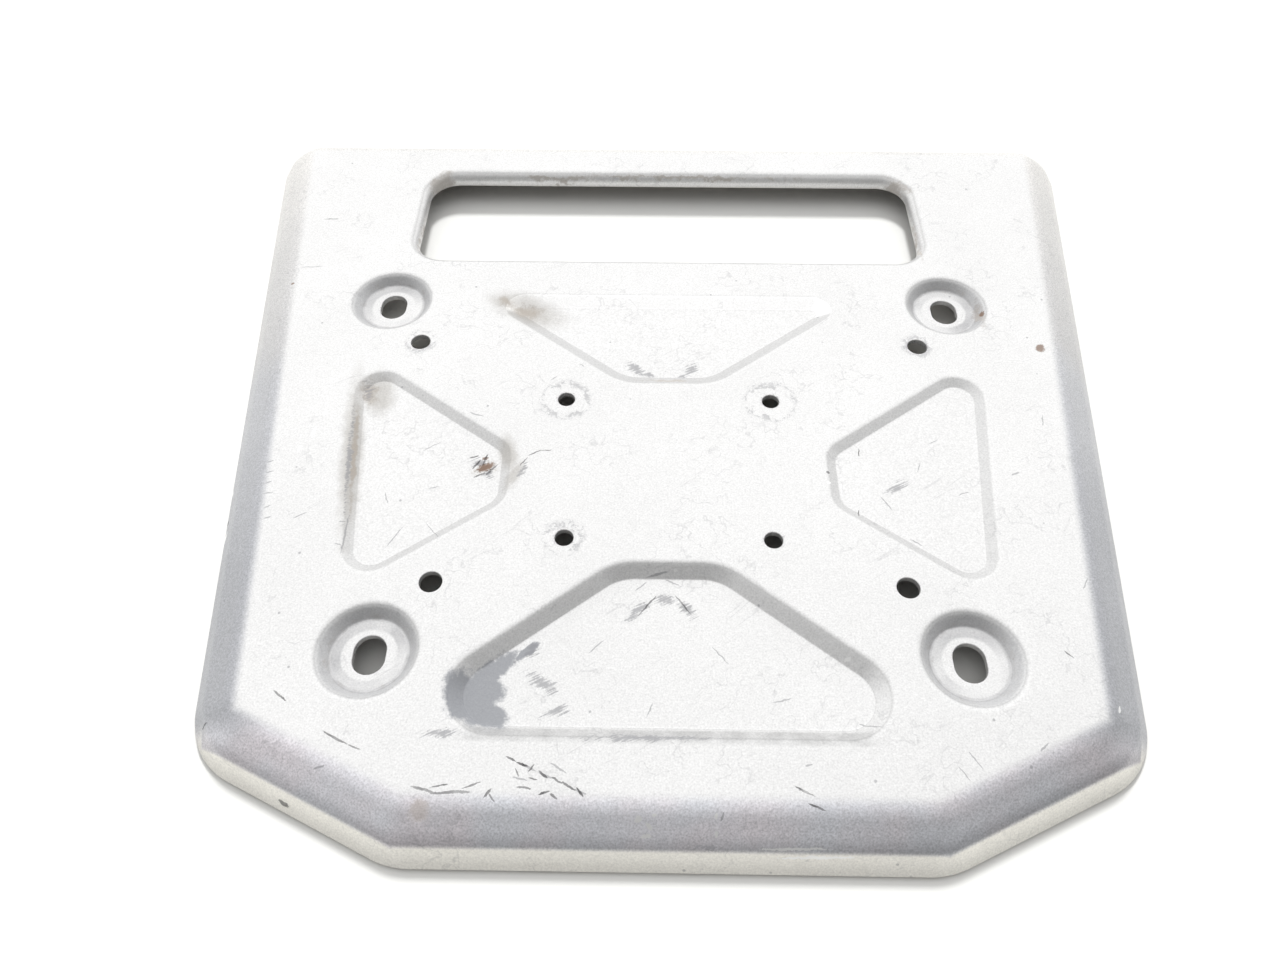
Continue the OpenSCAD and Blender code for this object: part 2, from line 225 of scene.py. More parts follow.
# Outwards from the middle of a small hole
HOLE_BARE_RING = (2.0, 2.8, 3.2, 3.9)
# From 1 to 0: across the plate in metres, at the ends of the rear and the front pocket
REAR_POCKET_END = (0.07, 0.079)
FRONT_POCKET_END = (0.048, 0.057)
# From 0 to 1: along Y, behind the rims of the front and the cut corners
BEHIND_FRONT_RIM = (-118, -110)

# Tone of the clean paint, and how much painted shade takes from it on the bevel, its crease and the walls
PAINT_TONE = 0.8
BEVEL_SHADE = 0.42
CREASE_SHADE = 0.28
WALL_SHADE = 0.2

# Colours of the wear; the grime, smear and scuff colours also carry painted shade, the chip colour painted
# highlights
GRIME_AND_SHADE_COLOUR = (0.21, 0.16, 0.11, 1)
SMEAR_AND_SHADE_COLOUR = (0.13, 0.14, 0.165, 1)
HAZE_COLOUR = (0.26, 0.23, 0.185, 1)
SCUFF_AND_SHADE_COLOUR = (0.25, 0.25, 0.265, 1)
SCRATCH_COLOUR = (0.035, 0.033, 0.035, 1)
RUST_COLOUR = (0.15, 0.075, 0.035, 1)
CHIP_AND_HIGHLIGHT_COLOUR = (0.93, 0.93, 0.92, 1)

# Light, in metres and degrees
FLOOR_COLOUR = (0.82, 0.82, 0.8, 1)
FLOOR_HALF = 30
SKY_BRIGHT = 1.22
SKY_DARK = 0.21
BRIGHT_SIDE = (-0.15, 0.9, 0.34)
DARK_BELOW = -0.8
BRIGHT_ABOVE = 0.85
HORIZON = 0.65
HORIZON_LOW = 0.04
HORIZON_HIGH = 0.16
KEY_ELEVATION = 49
KEY_SIDE = 0.0
KEY_DISTANCE = 3.0
KEY_SIZE = 0.5
KEY_POWER = 70


# Outlines

class Corner:
    """A rounded corner of an anticlockwise outline."""

    def __init__(self, before, point, after, radius):
        come = (Vector(point) - Vector(before)).normalized()
        leave = (Vector(after) - Vector(point)).normalized()
        self.turn = atan2(come.x * leave.y - come.y * leave.x, come.dot(leave))
        self.radius = radius
        self.outward = Vector((come.y, -come.x))
        self.start = Vector(point) - come * radius * tan(self.turn / 2)
        self.centre = self.start - self.outward * radius
        self.end = Vector(point) + leave * radius * tan(self.turn / 2)


def outline(points, radii):
    """Corners of an outline from its sharp points and the radius of each."""
    count = len(points)
    return [Corner(points[k - 1], points[k], points[(k + 1) % count], radii[k]) for k in range(count)]


def mirrored(points):
    return [(-x, y) for x, y in reversed(points)]


# Sections

def folded(start, folds, aim=0.0):
    """Points (outwards, up) of a sheet's upper face along folds: a flat length, a bend down, its radius."""
    at = Vector(start)
    points = [at.copy()]
    aim = radians(aim)
    for flat, bend, radius in folds:
        pieces = max(1, ceil(flat / FLAT_STEP)) if flat else 0
        for _ in range(pieces):
            at = at + Vector((cos(aim), -sin(aim))) * flat / pieces
            points.append(at.copy())
        if bend:
            side = 1 if bend > 0 else -1
            face_radius = radius + (SHEET if bend > 0 else 0)
            steps = ceil(abs(bend) / BEND_STEP)
            centre = at - Vector((sin(aim), cos(aim))) * face_radius * side
            for _ in range(steps):
                aim += radians(bend) / steps
                at = centre + Vector((sin(aim), cos(aim))) * face_radius * side
                points.append(at.copy())
    return points


def wall_run(depth, angle):
    """Run of a pressed wall from the floor's edge to where it leaves the top face."""
    half = tan(radians(angle) / 2)
    return (PRESS_RADIUS + SHEET) * half + depth / tan(radians(angle)) + PRESS_RADIUS * half


def wall_section(depth, angle):
    """Section of a pressed wall, from a lap of the floor up to a lap of the top face."""
    half = tan(radians(angle) / 2)
    straight = depth / sin(radians(angle)) - (PRESS_RADIUS + SHEET) * half - PRESS_RADIUS * half
    start = (-wall_run(depth, angle) - LAP, HEIGHT - depth)
    return folded(start, [(LAP, -angle, PRESS_RADIUS), (straight, angle, PRESS_RADIUS), (LAP, 0, 0)])


TRIM_LIFT = SHEET * cos(radians(LIP_ANGLE))
BEVEL_DROP = HEIGHT - LIP_DROP - TRIM_LIFT
ROLL_SETBACK = (ROLL_RADIUS + SHEET) * tan(radians(BEVEL_ANGLE / 2))
CREASE_BEND = LIP_ANGLE - BEVEL_ANGLE
CREASE_SETBACK = (CREASE_RADIUS + SHEET) * tan(radians(CREASE_BEND / 2))
RIM_RUN = ROLL_SETBACK + BEVEL_DROP / tan(radians(BEVEL_ANGLE)) + LIP_DROP / tan(radians(LIP_ANGLE))
CREASE_IN = LIP_DROP / tan(radians(LIP_ANGLE))
RIM_SECTION = folded((-RIM_RUN - LAP, HEIGHT), [
    (LAP, BEVEL_ANGLE, ROLL_RADIUS),
    (BEVEL_DROP / sin(radians(BEVEL_ANGLE)) - ROLL_SETBACK - CREASE_SETBACK, CREASE_BEND, CREASE_RADIUS),
    (LIP_DROP / sin(radians(LIP_ANGLE)) - CREASE_SETBACK, 0, 0),
])
FLANGE_BEND = FLANGE_RADIUS + SHEET
FLANGE_SECTION = [
    Vector((-out, up)) for out, up in folded((-LAP, HEIGHT), [
        (LAP, 90, FLANGE_RADIUS), (FLANGE_HEIGHT - FLANGE_BEND, 0, 0)
    ])
]


# The plate's outlines

def lip_x(y):
    return REAR_WIDTH / 2 - (LENGTH / 2 - y) * tan(radians(SIDE_TAPER))


def lip_outline():
    rear = LENGTH / 2
    corner = FRONT_CUT - rear
    right = [(FRONT_WIDTH / 2, -rear), (lip_x(corner), corner), (REAR_WIDTH / 2, rear)]
    radii = [FRONT_CORNER, SIDE_CORNER, REAR_CORNER]
    return outline(right + mirrored(right), [r + RIM_RUN for r in radii + radii[::-1]])


def long_pocket(length, way, outer_radius, press):
    """The rear pocket (way 1) or the front pocket (way -1) of the cross, which opens out from a blunt tip."""
    tip = (LONG_TIP_WIDTH / 2, CROSS_Y + way * LONG_TIP)
    base = (tip[0] + length / tan(radians(LONG_FLANK)), tip[1] + way * length)
    right = [tip, base] if way > 0 else [base, tip]
    radii = [LONG_TIP_RADIUS, outer_radius] if way > 0 else [outer_radius, LONG_TIP_RADIUS]
    run = wall_run(*press)
    return outline(right + mirrored(right), [r + run for r in radii + radii[::-1]])


def side_pocket(side):
    """The pocket on the right (side 1) or the left (side -1), whose outer edge follows the side lip."""
    taper = tan(radians(SIDE_TAPER))
    edge = lip_x(0) - SIDE_POCKET_MARGIN / cos(radians(SIDE_TAPER))
    tip_y = CROSS_Y - SIDE_TIP_FORWARD

    def meet(y, slope):
        x = (edge + (y - slope * SIDE_TIP) * taper) / (1 - slope * taper)
        return (x, y + slope * (x - SIDE_TIP))

    rise = tan(radians(SIDE_FLANK))
    high, low = tip_y + SIDE_TIP_WIDTH / 2, tip_y - SIDE_TIP_WIDTH / 2
    right = [meet(high, rise), (SIDE_TIP, high), (SIDE_TIP, low), meet(low, -rise)]
    radii = [SIDE_POCKET_RADIUS + wall_run(*SIDE_POCKET)] * 4
    return outline(right if side > 0 else mirrored(right), radii)


def hand_outline():
    x = HAND_WIDTH / 2 + FLANGE_BEND
    rear = LENGTH / 2 - HAND_MARGIN + FLANGE_BEND
    front = LENGTH / 2 - HAND_MARGIN - HAND_LENGTH - FLANGE_BEND
    right = [(x, front), (x, rear)]
    return outline(right + mirrored(right), [HAND_CORNER + FLANGE_BEND] * 4)


# Pressing

def edges_of(made):
    return [g for g in made if isinstance(g, bmesh.types.BMEdge)]


def verts_of(made):
    return [g for g in made if isinstance(g, bmesh.types.BMVert)]


def sweep(bm, corners, section):
    """Draws a section along each side of an outline and spins it round each corner."""
    at = corners[-1].end
    points = [bm.verts.new((*(at + corners[0].outward * out), up)) for out, up in section]
    chain = points + [bm.edges.new(pair) for pair in zip(points, points[1:])]
    for corner in corners:
        drawn = bmesh.ops.extrude_edge_only(bm, edges=edges_of(chain))["geom"]
        new = set(verts_of(drawn))
        bmesh.ops.translate(bm, vec=(*(corner.start - at), 0), verts=list(new))
        chain = list(new) + [e for e in edges_of(drawn) if set(e.verts) <= new]
        chain = bmesh.ops.spin(
            bm, geom=chain, cent=(*corner.centre, 0), axis=(0, 0, 1),
            angle=corner.turn, steps=ceil(degrees(corner.turn) / CORNER_STEP),
        )["geom_last"]
        at = corner.end
    bmesh.ops.remove_doubles(bm, verts=bm.verts, dist=MERGE)


def mark_hole(bm, hole, height):
    """Edge of the flat ring round a hole. A slot's ring is a circle pulled apart along Y."""
    x, y, radius, half_length = hole
    circle = bmesh.ops.create_circle(
        bm, segments=HOLE_SEGMENTS, radius=radius + LAP, matrix=Matrix.Translation((x, y, height))
    )["verts"]
    for way in (1, -1):
        half = [v for v in circle if (v.co.y - y) * way > 0]
        bmesh.ops.translate(bm, vec=(0, way * (half_length - radius), 0), verts=half)
    return list({edge for vert in circle for edge in vert.link_edges})


def open_hole(bm, hole, edges):
    """Draws the ring in from its edge to the hole itself."""
    x, y, radius, half_length = hole
    inner = verts_of(bmesh.ops.extrude_edge_only(bm, edges=edges)["geom"])
    shrink = (radius / (radius + LAP), half_length / (half_length + LAP), 1)
    bmesh.ops.scale(bm, vec=shrink, space=Matrix.Translation((-x, -y, 0)), verts=inner)


def fill_flat(bm, height, holes=()):
    """Fills the flat webs at a height, up to the open edges that lie there, and opens their holes."""
    rings = [mark_hole(bm, hole, height) for hole in holes]
    flat = [
        e for e in bm.edges
        if len(e.link_faces) < 2 and all(abs(v.co.z - height) < MERGE for v in e.verts)
    ]
    bmesh.ops.triangle_fill(bm, edges=flat, use_beauty=True, normal=(0, 0, 1))
    for hole, ring in zip(holes, rings):
        open_hole(bm, hole, ring)


def press_seat(bm, x, y):
    """Wall of a round bolt seat: one section spun all the way round."""
    centre = Vector((x, y, 0))
    section = wall_section(SEAT_DEPTH, SEAT_WALL)
    points = [bm.verts.new(centre + Vector((SEAT_RADIUS + out, 0, up))) for out, up in section]
    edges = [bm.edges.new(pair) for pair in zip(points, points[1:])]
    bmesh.ops.spin(
        bm, geom=points + edges, cent=centre, axis=(0, 0, 1), angle=2 * pi,
        steps=ROUND_STEPS, use_merge=True,
    )


def stated_holes(kind):
    """Holes that the record states as pairs across the rack: (x, y, radius, half length), in millimetres."""
    holes = []
    for mount in frame["record"]["mounts"]:
        dims = mount["dims"]
        if mount["kind"] == kind:
            radius = dims["hole_r_mm"]
            half_length = dims.get("slot_length_mm", 2 * radius) / 2
            for side in (-1, 1):
                x = side * dims["spacing_x_mm"] / 2
                holes.append((x, mount["pos_m"][1] / MM, radius, half_length))
    return holes


def dent(bm, centre, reach, push):
    """Pushes the skin in round a place that was knocked, by most at its middle."""
    for vert in bm.verts:
        near = 1 - (vert.co - Vector(centre)).length / reach
        if near > 0:
            vert.co += Vector(push) * near ** 2


def press_plate():
    """Upper skin of the plate, then its thickness and its dulled trimmed edges."""
    bm = bmesh.new()
    pockets = [
        (REAR_POCKET, [long_pocket(REAR_POCKET_LENGTH, 1, REAR_POCKET_RADIUS, REAR_POCKET)]),
        (FRONT_POCKET, [long_pocket(FRONT_POCKET_LENGTH, -1, FRONT_POCKET_RADIUS, FRONT_POCKET)]),
        (SIDE_POCKET, [side_pocket(1), side_pocket(-1)]),
    ]
    for press, outlines in pockets:
        for corners in outlines:
            sweep(bm, corners, wall_section(*press))
        fill_flat(bm, HEIGHT - press[0])
    slots = stated_holes("other")
    for slot in slots:
        press_seat(bm, *slot[:2])
    sweep(bm, hand_outline(), FLANGE_SECTION)
    sweep(bm, lip_outline(), RIM_SECTION)
    fill_flat(bm, HEIGHT - SEAT_DEPTH, slots)
    fill_flat(bm, HEIGHT, stated_holes("bolt_pattern"))
    bmesh.ops.recalc_face_normals(bm, faces=bm.faces)
    if max(bm.faces, key=lambda face: face.calc_area()).normal.z < 0:
        bmesh.ops.reverse_faces(bm, faces=bm.faces)
    for knock in KNOCKS:
        dent(bm, *knock)
    bmesh.ops.scale(bm, vec=(MM, MM, MM), verts=bm.verts)
    for face in bm.faces:
        face.smooth = True
    mesh = bpy.data.meshes.new("pressed_plate")
    bm.to_mesh(mesh)
    bm.free()
    plate = bpy.data.objects.new("pressed_plate", mesh)
    bpy.context.collection.objects.link(plate)

    thickness = plate.modifiers.new("thickness", "SOLIDIFY")
    thickness.thickness = SHEET * MM
    thickness.offset = -1
    thickness.use_even_offset = True
    thickness.use_quality_normals = True
    trimmed = plate.modifiers.new("trimmed_edges", "BEVEL")
    trimmed.width = TRIM_EDGE * MM
    trimmed.segments = 2
    trimmed.limit_method = "ANGLE"
    trimmed.angle_limit = radians(50)
    flats = plate.modifiers.new("flats", "WEIGHTED_NORMAL")
    flats.weight = 50
    return plate


# Shader maths

class Value:
    """A socket of a node tree. Used in an expression, it adds Math nodes."""

    def __init__(self, tree, socket):
        self.tree = tree
        self.socket = socket

    def math(self, operation, *values):
        return self.tree.add("ShaderNodeMath", {"operation": operation}, dict(enumerate((self, *values))))

    def __add__(self, other):
        return self.math("ADD", other)

    __radd__ = __add__

    def __sub__(self, other):
        return self.math("SUBTRACT", other)

    def __rsub__(self, other):
        return self.tree.add("ShaderNodeMath", {"operation": "SUBTRACT"}, {0: other, 1: self})

    def __mul__(self, other):
        return self.math("MULTIPLY", other)

    __rmul__ = __mul__

    def above(self, low, high):
        """0 below low, 1 above high and a smooth rise between them."""
        return self.tree.add(
            "ShaderNodeMapRange", {"interpolation_type": "SMOOTHSTEP"},
            {"Value": self, "From Min": low, "From Max": high},
        )

    def larger(self, other):
        return self.math("MAXIMUM", other)

    def smaller(self, other):
        return self.math("MINIMUM", other)


class Tree:
    """A node tree that is filled by one method."""

    def __init__(self, owner):
        owner.use_nodes = True
        self.nodes = owner.node_tree.nodes
        self.links = owner.node_tree.links
        self.nodes.clear()

    def add(self, kind, settings=None, inputs=None, out=0):
        """Adds a node: its settings first, then the values or links of its sockets."""
        node = self.nodes.new(kind)
        for name, setting in (settings or {}).items():
            setattr(node, name, setting)
        for name, value in (inputs or {}).items():
            if isinstance(value, Value):
                self.links.new(value.socket, node.inputs[name])
            else:
                node.inputs[name].default_value = value
        return Value(self, node.outputs[out]) if node.outputs else node


# Finish

def coordinate(tree, place, axis):
    """One coordinate of a place: 0 across, 1 along and 2 up."""
    return tree.add("ShaderNodeSeparateXYZ", {}, {0: place}, out=axis)


def noise(tree, place, grain, detail=2.0, roughness=0.5):
    """Noise about its middle value 0, with a grain size in millimetres."""
    return tree.add("ShaderNodeTexNoise", {}, {
        "Vector": place, "Scale": 1 / (grain * MM), "Detail": detail, "Roughness": roughness
    }) - 0.5


def blend(tree, share, first, second):
    """Colour that goes from the first to the second as the share goes from 0 to 1."""
    return tree.add(
        "ShaderNodeMix", {"data_type": "RGBA"}, {"Factor": share, 6: first, 7: second}, out=2
    )


def shaken(tree, place, grain, reach):
    """Place, moved about by noise, so that what is drawn there has a ragged edge. Both in millimetres."""
    colour = tree.add("ShaderNodeTexNoise", {}, {
        "Vector": place, "Scale": 1 / (grain * MM), "Detail": 3.0
    }, out=1)
    middle = tree.add("ShaderNodeVectorMath", {"operation": "SUBTRACT"}, {0: colour, 1: (0.5, 0.5, 0.5)})
    moved = tree.add("ShaderNodeVectorMath", {"operation": "SCALE"}, {0: middle, "Scale": reach * MM})
    return tree.add("ShaderNodeVectorMath", {"operation": "ADD"}, {0: place, 1: moved})


def patches(tree, place, marks):
    """1 along the middle of the nearest mark of a list, falling to 0 at its edge."""
    flat_place = tree.add("ShaderNodeCombineXYZ", {}, {
        0: coordinate(tree, place, 0), 1: coordinate(tree, place, 1), 2: 1.0
    })
    nearest = None
    for x, y, length, width, turn in marks:
        centre = Vector((x, CROSS_Y + y)) * MM
        along = Vector((cos(radians(turn)), sin(radians(turn)))) / (length / 2 * MM)
        aside = Vector((-sin(radians(turn)), cos(radians(turn)))) / (width / 2 * MM)
        out_along, out_aside = (
            tree.add("ShaderNodeVectorMath", {"operation": "DOT_PRODUCT"}, {
                0: flat_place, 1: (*way, -way.dot(centre))
            }, out=1)
            for way in (along, aside)
        )
        squared = out_along * out_along + out_aside * out_aside
        nearest = squared if nearest is None else nearest.smaller(squared)
    return (1 - nearest.math("SQRT")).larger(0)


def streaks(tree, place, turn, length, width):
    """Noise drawn out into streaks that run along a direction."""
    along = tree.add("ShaderNodeMapping", {"vector_type": "TEXTURE"}, {
        "Vector": place, "Rotation": (0, 0, radians(turn)), "Scale": (length * MM, width * MM, width * MM)
    })
    return tree.add("ShaderNodeTexNoise", {}, {"Vector": along, "Scale": 1.0, "Detail": 2.0}) - 0.5


def hairlines(tree, place, turn, length, width, rare):
    """Thin lines along a direction, where drawn-out noise passes through its middle value."""
    line = 1 - streaks(tree, place, turn, length, width).math("ABSOLUTE").above(0.0, 0.012)
    return line * noise(tree, place, 14, 1.0).above(rare, rare + 0.06)


def band(value, start, full, fading, end):
    """1 between full and fading, 0 before start and after end."""
    return value.above(start, full) * (1 - value.above(fading, end))


def inward_from_lip(tree, folded_place):
    """Distance in millimetres from the nearest side of the lip's outline, on a place folded to +X."""
    rear = LENGTH / 2
    corner = FRONT_CUT - rear
    path = [(0, -rear), (FRONT_WIDTH / 2, -rear), (lip_x(corner), corner), (REAR_WIDTH / 2, rear), (0, rear)]
    nearest = None
    for start, end in zip(path, path[1:]):
        way = (Vector(end) - Vector(start)).normalized()
        inward = Vector((-way.y, way.x, 0))
        across = tree.add("ShaderNodeVectorMath", {"operation": "DOT_PRODUCT"}, {
            0: folded_place, 1: inward
        }, out=1) * (1 / MM) - inward.xy.dot(Vector(start))
        nearest = across if nearest is None else nearest.smaller(across)
    return nearest


def reach_from(tree, ragged_fold, x, y):
    """Distance in millimetres from a hole and from its mirror image across the rack."""
    return tree.add("ShaderNodeVectorMath", {"operation": "DISTANCE"}, {
        0: ragged_fold, 1: (x * MM, y * MM, 0)
    }, out=1) * (1 / MM)


class Skin:
    """Places on the plate, the grain of its paint and its main stretches, which all the wear and the painted
    light share.
    """

    def __init__(self, tree):
        self.place = tree.add("ShaderNodeTexCoord", out="Object")
        self.rough_place = shaken(tree, self.place, 3.0, 2.6)
        self.fine_place = shaken(tree, self.place, 1.6, 0.8)
        self.across = coordinate(tree, self.place, 0)
        self.forward = coordinate(tree, self.place, 1) * (1 / MM)
        self.height = coordinate(tree, self.place, 2) * (1 / MM)
        self.level = coordinate(tree, tree.add("ShaderNodeNewGeometry", out=1), 2)

        self.fold_across = self.across.math("ABSOLUTE")
        self.fold = tree.add("ShaderNodeCombineXYZ", {}, {0: self.fold_across, 1: self.forward * MM})
        self.ragged_fold = tree.add("ShaderNodeCombineXYZ", {}, {
            0: coordinate(tree, self.rough_place, 0).math("ABSOLUTE"),
            1: coordinate(tree, self.rough_place, 1),
        })

        self.flake = noise(tree, self.place, 0.5, 1.0)
        self.grit = noise(tree, self.place, 0.7, 2.0, 0.7)
        self.blotch = noise(tree, self.place, 5, 3.0, 0.6)
        self.mottle = noise(tree, self.place, 18, 2.0)
        self.cloud = noise(tree, self.place, 40, 2.0)

        self.inward = inward_from_lip(tree, self.fold)
        self.side = (self.forward + self.grit * 3).above(*BEHIND_FRONT_RIM)
        self.bevel = 1 - self.inward.above(13.0, RIM_RUN + 0.3)
        self.lip = (1 - self.inward.above(CREASE_IN - 0.7, CREASE_IN + 0.3)) * (1 - self.side)
        self.steep = (1 - self.level.above(0.86, 0.985)) * self.inward.above(RIM_RUN, RIM_RUN + 2)
        self.rear_width = 1 - self.fold_across.above(*REAR_POCKET_END)
        self.rear_wall = band(self.forward, *REAR_WALL_STRETCH) * self.rear_width * self.steep.above(0.0, 0.3)


def paint_and_painted_light(tree, skin):
    """Colour of the paint with painted shade on the bevel, thickest along its crease and to the front,
    painted shade on the walls and at the lip's foot, a painted highlight on the rear pocket's wall and
    painted reflections on the lip and the bevel.
    """
    bevel, side, lip = skin.bevel, skin.side, skin.lip
    # Painted shade on the bevel: on the sides darker towards the front, on the front towards its crease and
    # on its right half.
    to_front = 1 - (skin.forward + skin.cloud * 60).above(-100, 190)
    front_half = (skin.forward * -1 + skin.cloud * 50).above(-24, -6)
    shaded = to_front.larger(front_half * 0.62)
    right_front = skin.across.above(0.03, 0.08) * (1 - side)
    side_shade = shaded * side * BEVEL_SHADE + right_front * 0.14
    bevel_shade = bevel * (1 - lip) * (side_shade + (1 - skin.inward.above(CREASE_IN, 8)) * (1 - side) * CREASE_SHADE)

    # Painted shade on the steep walls of the pockets, more on the rear pocket's flanks.
    deep = 1 - skin.level.above(0.78, 0.87)
    rear_flank = band(skin.forward, *REAR_FLANK_STRETCH) * skin.rear_width
    front_width = 1 - skin.fold_across.above(*FRONT_POCKET_END)
    front_wall = band(skin.forward, *FRONT_WALL_STRETCH) * front_width
    wall_shade = skin.steep * (WALL_SHADE * (1 - deep * 0.8) + rear_flank * 0.08)

    grain = skin.flake * (0.32 + bevel * 0.3 - lip * 0.3)
    # The lip is made lighter by a painted reflection of the floor.
    tone = PAINT_TONE + skin.cloud * 0.07 + grain + skin.grit * 0.22 + lip * 0.13
    # Painted shade of the bevel and the walls is taken off, and a painted highlight is added on the rear
    # pocket's rear wall.
    tone = tone * (1 - bevel_shade) * (1 - wall_shade) + skin.rear_wall * 0.28
    # Painted shade on the front wall of the front pocket.
    tone = tone * (1 - front_wall * (0.2 + skin.blotch * 0.5))
    # Painted shade darkens the lip towards its foot on the floor.
    tone = tone * (1 - lip * (1 - skin.height.above(0.3, 6.5)) * 0.3)

    # Painted reflections tint the bevel pink on the front, cool in its painted shade and warm on the rear of
    # the sides; the lip is tinted cream by a painted reflection of the floor.
    pink_reflection = bevel * (1 - side) * (1 - lip) * (skin.mottle + 0.3).above(0.1, 0.5)
    cool_reflection = shaded * bevel * (1 - lip)
    warm_reflection = bevel * side * (1 - front_half)
    return tree.add("ShaderNodeCombineColor", {}, {
        0: tone * (1 - cool_reflection * 0.035 + warm_reflection * 0.015 + pink_reflection * 0.04),
        1: tone * (0.997 - cool_reflection * 0.02 - lip * 0.02 - pink_reflection * 0.02),
        2: tone * (0.992 + cool_reflection * 0.035 - warm_reflection * 0.025 - lip * 0.075 - pink_reflection * 0.03),
    })


class Wear:
    """How much of each kind of wear, painted shade and painted highlight there is, from 0 to 1: first the
    marks that are placed one by one.
    """

    def __init__(self, tree, skin):
        grit, blotch = skin.grit, skin.blotch
        line = patches(tree, skin.fine_place, SCRATCHES)
        self.scratch = (line + grit * 0.6).above(0.12, 0.35)
        self.faint = (patches(tree, skin.fine_place, FAINT_SCRATCHES) + grit * 0.7).above(0.15, 0.45)

        scuffed = patches(tree, skin.rough_place, SCUFFS)
        rubbed = streaks(tree, skin.place, 28, 9, 0.5)
        ragged = (scuffed * 1.1 + rubbed * 1.5 + grit * 0.8 + blotch * 0.7).above(0.55, 0.95)
        self.scuff_and_shade = ragged * scuffed.above(0, 0.2)

        dirty = patches(tree, skin.rough_place, GRIME_AND_SHADE)
        self.grime_and_shade = (dirty * 1.2 + blotch * 1.6 + grit * 0.9).above(0.35, 1.0) * dirty.above(0, 0.25)
        rusty = patches(tree, skin.fine_place, RUST)
        self.rust = (rusty + grit * 0.9 + blotch * 0.5).above(0.25, 0.55) * rusty.above(0, 0.1)
        self.chip_and_highlight = (patches(tree, skin.fine_place, CHIPS_AND_HIGHLIGHTS) + grit * 0.9).above(0.3, 0.5)
        smeared = patches(tree, skin.rough_place, SMEARS)
        self.smear_and_shade = (smeared * 1.6 + blotch * 0.9 + grit * 0.5).above(0.35, 0.75)
        self.haze = patches(tree, skin.rough_place, HAZE) + blotch * 0.4


def wear_seats(tree, skin, wear):
    """Bolt seats: a clean ring where the washer sat, painted shade at the foot of the wall and down the wall,
    dirt packed outside it, and a bare edge of the slot.
    """
    grit, blotch = skin.grit, skin.blotch
    for x, y in SEATS:
        reach = reach_from(tree, skin.ragged_fold, x, y)
        packed = band(reach, *SEAT_DIRT_RING)
        wear.grime_and_shade = wear.grime_and_shade.larger((packed * 0.7 + grit * 1.0 + blotch * 1.2).above(0.6, 1.3) * 0.75)
        even_reach = reach_from(tree, skin.fold, x, y)
        worn = band(even_reach + blotch, *SEAT_WORN_RING) * (0.42 + skin.mottle * 2.2 + grit * 0.9)
        # The worn ring and painted shade along the foot of the seat's wall; below, painted shade down the
        # wall.
        wear.scuff_and_shade = wear.scuff_and_shade.larger(worn.larger(band(even_reach, *SEAT_FOOT_SHADE) * 0.5))
        wear.smear_and_shade = wear.smear_and_shade.larger(band(even_reach + blotch * 2, *SEAT_WALL_SHADE) * 0.42)
        bare = band(reach, *SLOT_BARE_RING)
        wear.scratch = wear.scratch.larger((bare * 0.7 + grit + blotch * 0.5).above(0.75, 1.0) * 0.6)


def wear_holes(tree, skin, wear):
    """Small holes: paint chipped in a ragged ring where screw heads sat, and bare at the hole's edge."""
    grit, blotch = skin.grit, skin.blotch
    for x, y, radius, side in CHIPPED_HOLES:
        reach = reach_from(tree, skin.ragged_fold, x, y)
        ragged = reach + blotch * 10 + grit * 2
        ring = band(ragged, radius - 2.2, radius - 1.2, radius - 0.6, radius + 0.6)
        here = ring if side == 0 else ring * (skin.across * side).above(0, MM)
        wear.scuff_and_shade = wear.scuff_and_shade.larger(here * (grit + blotch).above(-0.12, 0.1) * 0.7)
        bare = band(reach, *HOLE_BARE_RING)
        wear.scratch = wear.scratch.larger((bare * 0.7 + grit * 1.2).above(0.62, 0.95) * 0.6)


def wear_rim(skin, wear):
    """The crease and the trimmed edge are rubbed and nicked, and the underside is darkened, partly by dirt
    and partly as painted shade under the plate.
    """
    grit, blotch = skin.grit, skin.blotch
    crease = band(skin.inward, CREASE_IN - 1.5, CREASE_IN - 0.4, CREASE_IN + 0.4, CREASE_IN + 1.8)
    wear.scuff_and_shade = wear.scuff_and_shade.larger((crease * 0.6 + grit * 1.2 + blotch * 1.3).above(0.95, 1.25) * 0.8)
    edge = 1 - skin.height.above(1.2, 2.6)
    wear.chip_and_highlight = wear.chip_and_highlight.larger((edge * 0.5 + grit * 1.3 + blotch).above(0.85, 1.1) * 0.8)
    # Darker underside: dirt, and painted shade under the plate.
    below = 1 - skin.level.above(-0.4, 0.1)
    wear.grime_and_shade = wear.grime_and_shade.larger(below * (0.95 + blotch))


def light_marks(tree, skin, wear):
    """Fine scratches all over, peppered dots and the faint scratches, as one share."""
    fine = hairlines(tree, skin.place, 35, 60, 5, 0.12)
    wrinkle = noise(tree, skin.rough_place, 7, 2.0)
    fine = fine.larger((1 - wrinkle.math("ABSOLUTE").above(0.0, 0.02)) * skin.mottle.above(0.0, 0.12))
    dots = tree.add("ShaderNodeTexVoronoi", {}, {"Vector": skin.place, "Scale": 1 / (7 * MM)})
    pepper = (1 - dots.above(0.04, 0.075)) * noise(tree, skin.place, 11, 1.0).above(0.04, 0.1)
    return (fine * 0.2).larger(pepper * 0.55).larger(wear.faint * 0.55)


